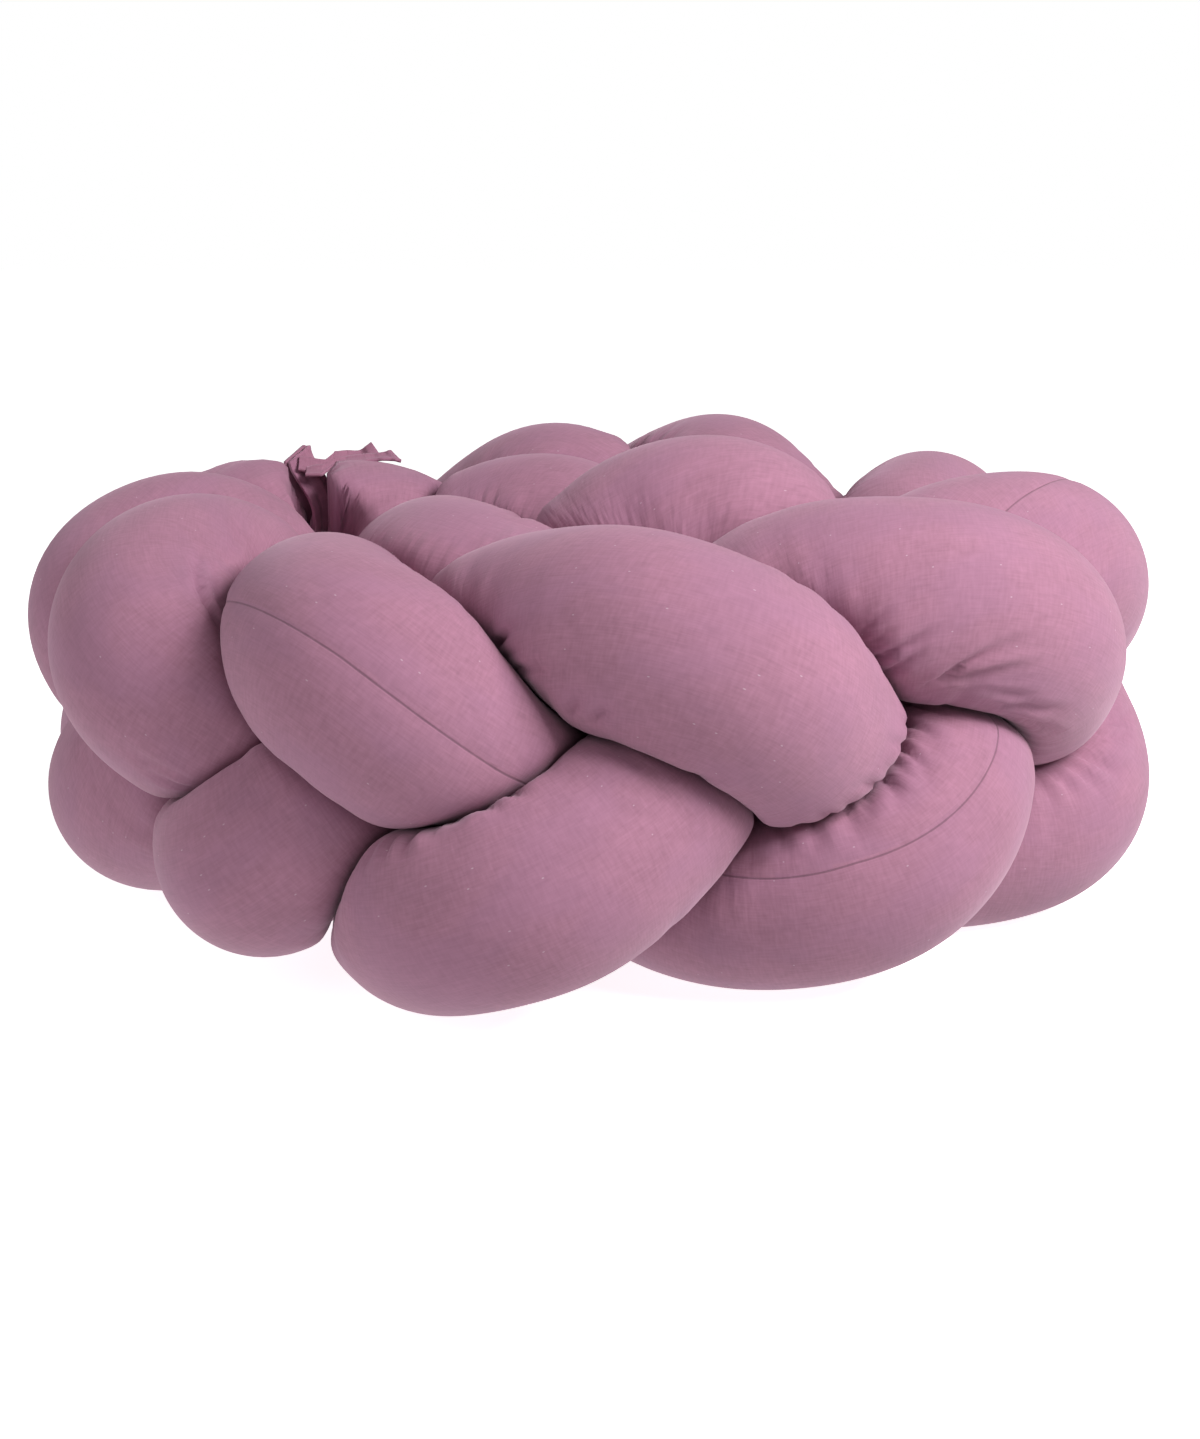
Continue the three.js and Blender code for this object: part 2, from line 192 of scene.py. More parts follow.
def plaited_lobe(lobe):
    """The lobe number that the plaiting has reached; it slows to a stop at either end."""
    def ease(distance):
        return np.where(distance < CALM_LOBES, (distance ** 2 / CALM_LOBES + CALM_LOBES) / 2, distance)
    middle = (OUTER_END_LOBE + INNER_END_LOBE) / 2
    return np.where(lobe < middle, OUTER_END_LOBE + ease(lobe - OUTER_END_LOBE),
                    INNER_END_LOBE - ease(INNER_END_LOBE - lobe))


def route_points(strand, lobe):
    """A strand's centreline: it sways between the edges once in three lobes, and out and in twice."""
    phase = 2 * np.pi * (plaited_lobe(lobe) - strand) / 3
    upper = (0.5 + 0.5 * np.cos(phase))[:, None]
    rail = upper * read_table(UPPER_LOBES, FIRST_UPPER_LOBE, lobe) \
        + (1 - upper) * read_table(LOWER_LOBES, FIRST_LOWER_LOBE, lobe)
    for row in SHIFTS[SHIFTS[:, 0] == strand]:
        rail = rail + np.exp(-((lobe - row[1]) / row[2]) ** 2)[:, None] * row[3:]
    from_end = np.minimum(lobe - OUTER_END_LOBE, INNER_END_LOBE - lobe) / CALM_LOBES
    swing = np.minimum(OVER_UNDER_SWING, TIGHT_TURN_SWING * rail[:, 1]) * smoothstep(from_end, 0, 1)
    reach = rail[:, 1] + swing * np.sin(2 * phase)
    azimuth = np.radians(rail[:, 0])
    return np.stack([reach * np.sin(azimuth), -reach * np.cos(azimuth), rail[:, 2]], 1)


def straight_on(point, distance):
    """A point further along the coil's own direction."""
    run = np.array([-point[1], point[0], 0.0])
    return point + run / np.linalg.norm(run) * distance


class Route:
    """A strand's centreline, read by the distance travelled along it."""

    def __init__(self, strand):
        lobes = np.linspace(OUTER_END_LOBE, INNER_END_LOBE, ROUTE_POINTS)
        points = route_points(strand, lobes)
        self.points = np.vstack([straight_on(points[0], -END_FLAT_LENGTH), points,
                                 straight_on(points[-1], END_FLAT_LENGTH)])
        steps = np.linalg.norm(np.diff(self.points, axis=0), axis=1)
        self.travelled = np.concatenate([[0], np.cumsum(steps)])
        self.length = self.travelled[-1]
        self.lobes = np.concatenate([[lobes[0]], lobes, [lobes[-1]]])

    def at(self, distance):
        return np.stack([np.interp(distance, self.travelled, self.points[:, k]) for k in range(3)], -1)

    def lobe(self, distance):
        return np.interp(distance, self.travelled, self.lobes)


def band_point(height, along_band, inward):
    """A point of the upright outer end of the wall."""
    lower = read_table(LOWER_LOBES, FIRST_LOWER_LOBE, OUTER_END_LOBE)
    upper = read_table(UPPER_LOBES, FIRST_UPPER_LOBE, OUTER_END_LOBE)
    share = (height - lower[2]) / (upper[2] - lower[2])
    lean = BAND_LEAN * smoothstep(height, BAND_LEAN_HEIGHT, BAND_TOP)
    reach = lower[1] + (upper[1] - lower[1]) * share + lean - inward
    azimuth = np.radians(lower[0] + (upper[0] - lower[0]) * share)
    beyond = along_band + END_FLAT_LENGTH
    return np.stack([reach * np.sin(azimuth) - beyond * np.cos(azimuth),
                     -reach * np.cos(azimuth) - beyond * np.sin(azimuth),
                     height + 0 * reach], -1)


routes = [Route(strand) for strand in range(3)]
samples = []
for route in routes:
    count = int(round(route.length / SAMPLE_SPACING))
    distance = np.linspace(0, route.length, count + 1)
    samples.append((route.at(distance), distance))


def lumps(rng, distance, angle, along, around, count=40):
    """Soft seeded noise over a tube, from waves along it and round it; about -1 to 1."""
    total = np.zeros((len(distance), len(angle)))
    for _ in range(count):
        wave = 2 * np.pi / (along * rng.uniform(*LUMP_LENGTHS))
        most = LUMP_TURN_REACH * around + 1
        turns = int(np.clip(round(rng.normal(0, around)), -most, most))
        total += np.cos(wave * distance[:, None] * rng.choice([-1, 1]) + turns * angle[None, :]
                        + rng.uniform(0, 2 * np.pi))
    return total / math.sqrt(count)


def turned(angle):
    """An angle brought between -pi and pi."""
    return (angle + np.pi) % (2 * np.pi) - np.pi


def spread_by_need(places, need, count):
    """Places along a line, closer together where the need is greater."""
    total = np.concatenate([[0], np.cumsum((need[1:] + need[:-1]) / 2 * np.diff(places))])
    return np.interp(np.linspace(0, total[-1], count), total, places)


def ring_and_side_places(route):
    """Distances along a tube and angles round it, closer together where the photo shows most."""
    line = np.linspace(0, route.length, LINE_POINTS)
    distances = spread_by_need(line, 1 + (FRONT_CLOSER - 1) * on_front(route.lobe(line)), RING_COUNT)
    turn = np.linspace(-180, 180, TURN_POINTS)
    near = smoothstep(turn, NEAR_SIDE[0] - NEAR_SIDE_FADE, NEAR_SIDE[0]) \
        * (1 - smoothstep(turn, NEAR_SIDE[1], 180))
    angles = spread_by_need(turn, 1 + (NEAR_SIDE_CLOSER - 1) * near, SIDE_COUNT + 1)[:-1]
    return distances, np.radians(angles)


def free_radius(angles, from_end):
    """The radius of a tube that nothing presses on: plump, and drawn flat at its ends."""
    share = np.clip((from_end - END_FLAT_LENGTH) / END_TAPER, 0, 1)
    roundness = math.sqrt(max(1 - (1 - share) ** 2, 0))
    thick = END_HALF_THICKNESS + (PLUMP_RADIUS - END_HALF_THICKNESS) * roundness
    tall = END_HALF_HEIGHT + (PLUMP_RADIUS - END_HALF_HEIGHT) * roundness
    return 1 / np.hypot(np.cos(angles) / thick, np.sin(angles) / tall)


def press_of_neighbours(strand, distance, at, rays, gap):
    """How hard other stretches of tube press on each ray of a ring, and how far the nearest lies."""
    contact = np.zeros(SIDE_COUNT)
    nearest = np.full(SIDE_COUNT, np.inf)
    for other in range(len(STRANDS)):
        points, along = samples[other]
        away = points - at
        squared = (away ** 2).sum(1)
        near = squared < NEIGHBOUR_REACH ** 2
        if other == strand:
            near &= np.abs(along - distance) > SAME_STRAND_DISTANCE
        if not near.any():
            continue
        facing = rays @ away[near].T
        half_way = squared[near] / (2 * np.maximum(facing, LEAST_FACING))
        limit = np.where(facing > LEAST_FACING, half_way, np.inf).min(1)
        nearest = np.minimum(nearest, limit)
        contact += np.maximum(limit - gap / 2, LEAST_RADIUS) ** -CONTACT_SHARPNESS
    return contact, nearest


def add_press_of_posts(contact, at, rays, free, from_end):
    """Adds the press of the upright posts by the band to each ray of a ring."""
    level = np.hypot(rays[:, 0], rays[:, 1])
    heights = np.clip(at[2] + rays[:, 2] * free, 0, BAND_TOP)
    posts = []
    if from_end > END_FLAT_LENGTH + END_TAPER:
        posts += [(post, BAND_POST_RADIUS, 1.0) for post in BAND_POSTS]
    if from_end > END_FLAT_LENGTH:
        seen = np.maximum(smoothstep(heights, *VIEW_POST_FOOT), LEAST_POST_STRENGTH)
        posts += [(post, VIEW_POST_RADIUS, seen) for post in VIEW_POSTS]
    for (beyond, inward), post_radius, strength in posts:
        away = band_point(heights, beyond, inward)[:, :2] - at[:2]
        along = (rays[:, :2] * away).sum(1) / level
        squared = (away ** 2).sum(1)
        inside = along ** 2 - squared + post_radius ** 2
        meets = (along > 0) & (squared > (post_radius + POST_CLEARANCE) ** 2)
        chord = np.sqrt(np.abs(inside))
        half_chord = np.where(inside > 0, chord, -POST_MISS * chord)
        hit = np.where(meets, (along - half_chord) / level, np.inf)
        contact += np.maximum(hit / strength, LEAST_RADIUS) ** -CONTACT_SHARPNESS


def tube_skin(strand):
    """Rings of points over one tube, with what presses on it and how it bends at each point."""
    route = routes[strand]
    distances, angles = ring_and_side_places(route)
    shape = (RING_COUNT, SIDE_COUNT)
    skin, normal = np.zeros(shape + (3,)), np.zeros(shape + (3,))
    press, closeness = np.zeros(shape), np.zeros(shape)
    bend_share = np.zeros(RING_COUNT)
    for ring, distance in enumerate(distances):
        at = route.at(distance)
        before = route.at(max(distance - BEND_STEP, 0))
        after = route.at(min(distance + BEND_STEP, route.length))
        tangent = (after - before) / np.linalg.norm(after - before)
        bend = (after + before - 2 * at) / BEND_STEP ** 2
        outward = np.array([at[0], at[1], 0.0])
        outward -= tangent * outward.dot(tangent)
        outward /= np.linalg.norm(outward)
        upward = np.cross(outward, tangent)
        rays = np.cos(angles)[:, None] * outward + np.sin(angles)[:, None] * upward
        from_end = min(distance, route.length - distance)
        gap = END_PIECE_GAP + (PIECE_GAP - END_PIECE_GAP) * smoothstep(from_end, 0, END_GAP_LENGTH)
        free = free_radius(angles, from_end)
        contact, nearest = press_of_neighbours(strand, distance, at, rays, gap)
        if np.linalg.norm((band_point(at[2], 0.0, 0.0) - at)[:2]) < POST_REACH:
            add_press_of_posts(contact, at, rays, free, from_end)
        tightest = TIGHTEST_BEND_SHARE / np.maximum(rays @ bend, LEAST_DIVISOR)
        to_floor = (at[2] + FLOOR_GIVE) / np.maximum(-rays[:, 2], LEAST_DIVISOR)
        floor = np.where(rays[:, 2] < 0, to_floor, np.inf)
        total = contact + free ** -CONTACT_SHARPNESS + tightest ** -CONTACT_SHARPNESS \
            + floor ** -CONTACT_SHARPNESS
        radius = total ** (-1 / CONTACT_SHARPNESS)
        skin[ring] = at + radius[:, None] * rays
        normal[ring] = rays
        press[ring] = contact / total
        closeness[ring] = smoothstep(free / nearest, *CLOSE_SHARES)
        bend_share[ring] = math.hypot(bend.dot(upward), bend.dot(outward)) * PLUMP_RADIUS
    return {"route": route, "distances": distances, "angles": angles, "skin": skin, "normal": normal,
            "press": press, "closeness": closeness, "bend_share": bend_share}


# How near another tube is, as shares of the free radius, where gathers start and are full
CLOSE_SHARES = (0.3, 0.95)
# How much a tube bends, as its plump radius over the bend's own radius, where gathers start and are full
BENT_SHARES = (0.15, 0.5)
# The shoulders beside a trough, against its depth and half width
SHOULDER_HEIGHT = 0.42
SHOULDER_PLACE = 1.9
SHOULDER_WIDTH = 1.1


def soft_trough(x):
    """A trough one unit deep, with soft shoulders beside it."""
    return -np.exp(-x ** 2) + SHOULDER_HEIGHT * np.exp(-((np.abs(x) - SHOULDER_PLACE) / SHOULDER_WIDTH) ** 2)


def gathers(rng, tube):
    """Puckers across a tube: narrow troughs with soft shoulders, uneven in depth, width and place."""
    distances, angles = tube["distances"], tube["angles"]
    relief = np.zeros((len(distances), len(angles)))
    at = GATHER_END_CLEAR
    while at < distances[-1] - GATHER_END_CLEAR:
        depth = rng.uniform(*GATHER_DEPTH)
        width = rng.uniform(*GATHER_WIDTH)
        centre = rng.uniform(-np.pi, np.pi)
        spread = rng.uniform(*GATHER_SPREAD)
        skew = rng.uniform(-GATHER_SKEW, GATHER_SKEW)
        off = turned(angles - centre)
        x = (distances[:, None] - at - skew * off[None, :]) / width
        relief += depth * soft_trough(x) * np.exp(-(off / spread) ** 2)[None, :]
        at += rng.uniform(*GATHER_STEP)
    return relief


GATHER_END_CLEAR = 70.0
GATHER_DEPTH = (1.0, 3.2)
GATHER_WIDTH = (2.8, 5.5)
GATHER_SPREAD = (0.5, 1.2)
GATHER_SKEW = 7.0
GATHER_STEP = (1.5, 6.0)
# How much of them the smooth front of the photo's tubes keeps
FRONT_GATHERS = 0.3

# The main creases of the photo: tube, lobe and angle (deg) where each starts at a contact, lobe and angle
# where it dies out, half width and depth (mm). A scratch script turned ends picked by eye on the photo into
# lobes and angles. 14 rows stand as it printed them, 17 are close to a printed row, and 28 were set by hand.
# The widths and depths are given one by one.
CREASES = [
    ("c", 2.45, 86, 2.20, 108, 2.1, 2.4), ("c", 2.47, 86, 2.33, 94, 2.1, 2.6),
    ("c", 2.47, 83, 2.40, 86, 2.1, 2.0), ("c", 2.42, 97, 2.19, 119, 2.2, 1.8),
    ("c", 2.24, 119, 1.97, 133, 2.3, 1.4), ("c", 2.52, 79, 2.44, 86, 2.6, 1.3),
    ("b", 1.95, 83, 1.93, 65, 2.3, 2.0), ("b", 1.98, 83, 1.98, 61, 2.6, 1.4),
    ("c", 2.59, -11, 2.53, -14, 2.5, 2.2), ("c", 2.58, -4, 2.50, -8, 2.8, 1.4),
    ("b", 3.91, 14, 4.01, 18, 2.1, 3.0), ("b", 3.91, 14, 4.01, 11, 2.2, 2.4),
    ("b", 3.98, -4, 4.09, -7, 2.8, 2.4), ("b", 3.93, 7, 4.04, 4, 2.6, 1.5),
    ("b", 4.11, -29, 4.13, -20, 2.2, 2.4), ("b", 4.16, -32, 4.18, -23, 2.2, 2.6),
    ("c", 3.90, 64, 3.94, 50, 2.1, 3.4), ("c", 3.86, 63, 3.90, 46, 2.4, 2.2),
    ("c", 3.81, 62, 3.83, 48, 2.6, 1.6), ("c", 3.78, 60, 3.79, 44, 2.4, 2.0),
    ("c", 3.74, 60, 3.74, 38, 2.2, 3.0), ("c", 3.70, 57, 3.70, 40, 2.3, 2.2),
    ("c", 3.66, 55, 3.65, 42, 2.4, 1.6), ("c", 4.94, 4, 4.99, 9, 2.2, 2.6),
    ("c", 4.96, -4, 5.00, 2, 2.2, 1.8), ("c", 4.97, -14, 5.07, -5, 2.2, 3.2),
    ("c", 4.99, -25, 5.05, -13, 2.5, 2.4), ("c", 5.10, -32, 5.12, -22, 2.6, 1.4),
    ("c", 5.09, -32, 5.19, -11, 2.3, 3.0), ("c", 5.12, -32, 5.24, -24, 2.2, 3.2),
    ("c", 5.15, -34, 5.25, -32, 2.4, 2.4), ("c", 5.18, -40, 5.28, -43, 2.5, 1.8),
    ("c", 5.25, -50, 5.34, -43, 2.3, 2.4), ("c", 5.32, -58, 5.43, -54, 2.5, 1.8),
    ("a", 5.13, 82, 5.08, 60, 2.4, 3.0), ("a", 5.10, 80, 5.04, 62, 2.0, 1.6),
    ("a", 5.05, 77, 4.99, 52, 2.5, 3.2), ("a", 5.01, 73, 4.96, 50, 2.2, 2.4),
    ("a", 4.97, 70, 4.92, 46, 2.3, 3.0), ("a", 4.93, 68, 4.90, 52, 2.0, 1.6),
    ("a", 4.88, 64, 4.86, 46, 2.1, 3.0), ("a", 4.82, 61, 4.78, 40, 2.4, 1.6),
    ("a", 4.78, 58, 4.76, 38, 2.4, 2.6), ("a", 4.71, 57, 4.70, 36, 2.6, 2.2),
    ("a", 4.64, 56, 4.66, 34, 3.0, 2.0), ("a", 4.57, 28, 4.61, 36, 3.0, 1.4),
    ("b", 4.71, 36, 4.64, 31, 2.4, 1.0), ("b", 4.71, 24, 4.61, 17, 2.2, 1.5),
    ("b", 4.70, 9, 4.64, 4, 2.3, 1.0), ("b", 4.68, -2, 4.60, -9, 2.2, 1.7),
    ("b", 4.67, -19, 4.62, -22, 2.4, 1.1), ("b", 4.65, -30, 4.58, -34, 2.4, 1.5),
    ("b", 4.63, -46, 4.60, -45, 2.6, 0.9), ("b", 5.91, 50, 5.98, 29, 2.2, 2.2),
    ("b", 5.86, 52, 5.91, 36, 2.2, 2.8), ("b", 5.78, 52, 5.82, 29, 2.3, 3.0),
    ("b", 5.73, 52, 5.76, 32, 2.4, 2.4), ("b", 5.68, 50, 5.71, 32, 2.6, 1.8),
    ("b", 5.64, 48, 5.65, 32, 2.8, 1.4),
]
# Shares of a crease's length: how far it leads in, where it starts to fade and ends, and how it widens
CREASE_LEAD = 0.5
CREASE_TAIL = (0.3, 1.2)
CREASE_START_WIDTH = 0.75
CREASE_WIDENING = 0.5


def creases(letter, tube):
    """The tube's own creases, each deepest where it starts and gone where it ends."""
    route = tube["route"]
    relief = np.zeros(tube["press"].shape)
    for _, lobe, angle, end_lobe, end_angle, width, depth in [row for row in CREASES if row[0] == letter]:
        start, end = np.interp([lobe, end_lobe], route.lobes, route.travelled)
        run = np.array([end - start, turned(math.radians(end_angle - angle)) * PLUMP_RADIUS])
        length = np.linalg.norm(run)
        along = tube["distances"][:, None] - start
        around = turned(tube["angles"] - math.radians(angle))[None, :] * PLUMP_RADIUS
        share = (along * run[0] + around * run[1]) / length ** 2
        aside = (around * run[0] - along * run[1]) / length
        fade = smoothstep(share, -CREASE_LEAD, 0) * (1 - smoothstep(share, *CREASE_TAIL))
        wide = width * (CREASE_START_WIDTH + CREASE_WIDENING * np.clip(share, 0, 1))
        relief += depth * soft_trough(aside / wide) * fade
    return relief


def end_pleats(rng, tube):
    """Pleats along a tube beside its two ends, where the band draws the cloth together."""
    distances, angles = tube["distances"], tube["angles"]
    from_end = np.minimum(distances, distances[-1] - distances)
    fade = np.exp(-(np.maximum(from_end - END_PLEAT_START, 0) / END_PLEAT_LENGTH) ** 2)
    fade = fade * np.where(distances < distances[-1] / 2, 1.0, INNER_END_PLEATS)
    waves = np.zeros(len(angles))
    for turns in END_PLEAT_TURNS:
        waves += np.cos(turns * angles + rng.uniform(0, 2 * np.pi))
    folds = np.abs(waves / len(END_PLEAT_TURNS)) ** END_PLEAT_ROUNDNESS - END_PLEAT_SINK
    return END_PLEAT_DEPTH * fade[:, None] * folds[None, :]


END_PLEAT_START = 20.0
END_PLEAT_LENGTH = 42.0
END_PLEAT_TURNS = (7, 11, 13)
END_PLEAT_DEPTH = 3.0
END_PLEAT_ROUNDNESS = 0.7
END_PLEAT_SINK = 0.8
INNER_END_PLEATS = 0.4

# The seam along each tube: lobe number, angle round the tube (deg, 0 outward and 90 up). Tube a's seam was
# read off the photo by eye where it shows, turned into lobes and angles by a scratch script, then rounded and
# changed by hand.
SEAMS = {
    "a": np.array([(-2, -120), (1.9, -120), (2.7, 18), (3.0, 28), (3.35, 28), (3.6, 22), (4.5, 20),
                   (4.75, 28), (5.05, 27), (5.5, 40), (5.95, 60), (6.2, 70), (6.8, 40), (8, -20),
                   (9, -60), (18, -70)]),
    "b": np.array([(-2, -105), (18, -105)]),
    "c": np.array([(-2, -110), (18, -100)]),
}
SEAM_TROUGH = 0.6
SEAM_HALF_WIDTH = 2.8


def seam_angles(letter, tube):
    """The seam's angle at each ring of a tube."""
    rows = SEAMS[letter]
    return np.radians(np.interp(tube["route"].lobe(tube["distances"]), rows[:, 0], rows[:, 1]))


def closed_mesh(name, vertices, faces, cloth=None, columns=None):
    """A mesh object from points in mm, with its cloth coordinates at face corners and point attributes."""
    mesh = bpy.data.meshes.new(name)
    mesh.from_pydata((np.asarray(vertices) * MM).tolist(), [], faces)
    mesh.polygons.foreach_set("use_smooth", [True] * len(mesh.polygons))
    mesh.update()
    if cloth is not None:
        attribute = mesh.attributes.new("cloth", "FLOAT_VECTOR", "CORNER")
        attribute.data.foreach_set("vector", np.asarray(cloth, np.float32).reshape(-1))
    for key, values in (columns or {}).items():
        attribute = mesh.attributes.new(key, "FLOAT", "POINT")
        attribute.data.foreach_set("value", np.asarray(values, np.float32).reshape(-1))
    piece = bpy.data.objects.new(name, mesh)
    bpy.context.scene.collection.objects.link(piece)
    return piece


def tube_mesh(name, tube, skin, seam, columns):
    """A tube's closed mesh. Its cloth coordinates are mm round the tube from its seam, and mm along it."""
    rings, sides = skin.shape[:2]
    ring, side = np.meshgrid(np.arange(rings - 1), np.arange(sides), indexing="ij")
    a, b = ring * sides + side, ring * sides + (side + 1) % sides
    quads = np.stack([a, a + sides, b + sides, b], -1).reshape(-1, 4)
    caps = [list(range(sides)), list(range(rings * sides - 1, (rings - 1) * sides - 1, -1))]
    around = (turned(tube["angles"][None, :] - seam[:, None] - np.pi) + np.pi) * PLUMP_RADIUS
    along = np.repeat(tube["distances"][:, None], sides, 1)
    around, along = around.reshape(-1), along.reshape(-1)
    corners = np.concatenate([quads.reshape(-1), caps[0], caps[1]])
    first = np.concatenate([np.repeat(quads[:, 0], 4), [caps[0][0]] * sides, [caps[1][0]] * sides])
    step = turned((around[corners] - around[first]) / PLUMP_RADIUS) * PLUMP_RADIUS
    cloth = np.stack([around[first] + step, along[corners], np.zeros(len(corners))], 1)
    return closed_mesh(name, skin.reshape(-1, 3), quads.tolist() + caps, cloth, columns)


tubes = []
tube_skins = {}
for strand, letter in enumerate(STRANDS):
    rng = np.random.default_rng(TUBE_SEED + strand)
    tube = tube_skin(strand)
    seam = seam_angles(letter, tube)
    free = 1 - tube["press"]
    soft = lumps(rng, tube["distances"], tube["angles"], LUMP_LENGTH, LUMP_TURNS) * SOFT_LUMPS * free
    lobe = tube["route"].lobe(tube["distances"])
    bent = smoothstep(tube["bend_share"], *BENT_SHARES) * (1 - (1 - FRONT_GATHERS) * on_front(lobe))
    amount = tube["closeness"] * bent[:, None]
    folds = gathers(rng, tube) * amount
    folds = np.where(folds > 0, folds * free, folds)
    own = creases(letter, tube)
    folds = folds + np.where(own > 0, own * free, own)
    from_seam = turned(tube["angles"][None, :] - seam[:, None]) * PLUMP_RADIUS
    trough = -SEAM_TROUGH * np.exp(-(from_seam / SEAM_HALF_WIDTH) ** 2) * free
    relief = soft + folds + trough + end_pleats(rng, tube)
    skin = tube["skin"] + tube["normal"] * relief[:, :, None]
    skin[:, :, 2] = np.maximum(skin[:, :, 2], 0.0)
    tube_skins[letter] = skin
    piece = tube_mesh(f"tube_{letter}", tube, skin + COIL_MIDDLE, seam, {"gather": amount})
    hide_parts(f"strand_{letter}")
    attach(piece, "root")
    tubes.append(piece)


def thin_sheet(name, middle, across, thickness, cloth):
    """A closed thin mesh over a grid of middle points, half its thickness to either side."""
    rows, columns = middle.shape[:2]
    half = across * np.asarray(thickness)[..., None] / 2
    vertices = np.concatenate([(middle + half).reshape(-1, 3), (middle - half).reshape(-1, 3)])
    back = rows * columns
    index = np.arange(back).reshape(rows, columns)
    faces = []
    for i in range(rows - 1):
        for j in range(columns - 1):
            a, b, c, d = index[i, j], index[i, j + 1], index[i + 1, j + 1], index[i + 1, j]
            faces += [[a, b, c, d], [back + d, back + c, back + b, back + a]]
    rim = list(index[0]) + list(index[1:, -1]) + list(index[-1, -2::-1]) + list(index[-2:0:-1, 0])
    for a, b in zip(rim, rim[1:] + rim[:1]):
        faces.append([b, a, back + a, back + b])
    faces = [[int(v) for v in face] for face in faces]
    places = np.tile(np.asarray(cloth).reshape(-1, 2), (2, 1))
    corner = np.concatenate([np.asarray(face) for face in faces])
    places = np.column_stack([places[corner], np.zeros(len(corner))])
    return closed_mesh(name, vertices, faces, places)


# The band: one strip folded round the outer end, pinched and peaked at its top (mm)
BAND_LEG = 16.0
BAND_CLOTH = 1.7
BAND_HALF_GAP = 5.5
BAND_PINCHED_HALF_GAP = 1.7
BAND_PINCH_HEIGHT = 178.0
BAND_FOOT = 12.0
BAND_PEAK = 8.0
BAND_ROWS = 110
BAND_COLUMNS = 61
BAND_SEED = 80
BAND_HEM = 4.5
BAND_HEM_EXTRA = 0.25
BAND_HEM_STEP = 0.4
# Two creases down one leg: how far past the fold, half width, and height or depth
BAND_RIDGE = (4, 1.6, 1.0)
BAND_TROUGH = (9.5, 1.8, 0.8)
# Two waves over the cloth: height, and how far up the band and along the cloth one radian reaches
BAND_WAVES = ((0.5, 13, 7), (0.35, 5.3, -5))
BAND_WAVE_SHARE = 0.6
BAND_PINCH_CALM = 0.5
BAND_PEAK_SHARPNESS = 4
# How far along the band and inward the cloth stands from the end it holds
BAND_AHEAD = (-4.0, 12.0)


def band_sheet():
    """The end band's cloth, row by row from its foot to its top."""
    rng = np.random.default_rng(BAND_SEED)
    heights = np.linspace(BAND_FOOT, BAND_TOP, BAND_ROWS)
    travel = np.linspace(-1, 1, BAND_COLUMNS)
    phases = rng.uniform(0, 2 * np.pi, 4)
    middle = np.zeros((BAND_ROWS, BAND_COLUMNS, 3))
    cloth = np.zeros((BAND_ROWS, BAND_COLUMNS, 2))
    thick = np.zeros((BAND_ROWS, BAND_COLUMNS))
    for row, height in enumerate(heights):
        pinch = smoothstep(height, BAND_PINCH_HEIGHT, BAND_TOP)
        gap = BAND_HALF_GAP + (BAND_PINCHED_HALF_GAP - BAND_HALF_GAP) * pinch
        half_arc = math.pi * gap / 2
        run = travel * (BAND_LEG + half_arc)
        on_arc = np.abs(run) < half_arc
        turn = np.clip(run / gap, -math.pi / 2, math.pi / 2)
        x = np.where(on_arc, gap * np.cos(turn), half_arc - np.abs(run))
        y = np.where(on_arc, gap * np.sin(turn), np.sign(run) * gap)
        from_edge = BAND_LEG + half_arc - np.abs(run)
        ridge, trough = [rise * np.exp(-((run - half_arc - place) / width) ** 2)
                         for place, width, rise in (BAND_RIDGE, BAND_TROUGH)]
        long_wave, short_wave = [tall * np.sin(height / up + phase + run / beside)
                                 for (tall, up, beside), phase in zip(BAND_WAVES, phases)]
        relief = ridge - trough + (long_wave + short_wave) * BAND_WAVE_SHARE
        y = y + relief * np.sign(run) * (1 - BAND_PINCH_CALM * pinch)
        share = (height - BAND_FOOT) / (BAND_TOP - BAND_FOOT)
        peak = BAND_PEAK * (1 - np.minimum(np.abs(x) / BAND_LEG, 1)) * share ** BAND_PEAK_SHARPNESS
        place = band_point(height, x + BAND_AHEAD[0], y + BAND_AHEAD[1])
        place[:, 2] += peak
        middle[row] = place
        cloth[row] = np.stack([run, np.full(BAND_COLUMNS, height)], 1)
        hem = smoothstep(BAND_HEM - from_edge, -BAND_HEM_STEP, BAND_HEM_STEP)
        thick[row] = BAND_CLOTH * (1 + BAND_HEM_EXTRA * hem)
    along_row = np.gradient(middle, axis=1)
    along_column = np.gradient(middle, axis=0)
    across = np.cross(along_row, along_column)
    across /= np.linalg.norm(across, axis=2)[..., None]
    piece = thin_sheet("end_band_cloth", middle + COIL_MIDDLE, across, thick, cloth)
    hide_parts("end_band")
    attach(piece, "root")
    return piece


# The ties lie on the crest of tube b: right from the band's top, back from the crest, above it, and the tilt
# of the flat side towards the front
TIE_WIDTH = 10.0
TIE_CLOTH = 1.5
TIE_CUT = 3.0
TIE_ROOT_BEYOND = 8.0
TIE_ROWS = 60
TIE_COLUMNS = 13
TIE_CUP = 0.9
TIE_CUP_SINK = 0.3
TIE_CUP_SHARE = 0.8
TIE_WAVE = 0.35
TIE_WAVE_TURN = 14
TIE_WAVE_SLANT = 1.5
TIE_HEM = (0.62, 0.75)
TIE_HEM_EXTRA = 0.3
TIES = {
    "tie_upper": (45, np.array([(0, 4, 3, 40), (10, 4, 2, 35), (22, 5, 1.5, 30), (33, 5, 2, 30),
                                (42, 5, 6, 45)], float)),
    "tie_lower": (56, np.array([(5, -3, -1, 20), (14, -3, 0, 20), (28, -3, 0.5, 16), (42, -3, 2.5, 10),
                                (54, -3, 5, 30)], float)),
}
CREST_REACH = 90.0
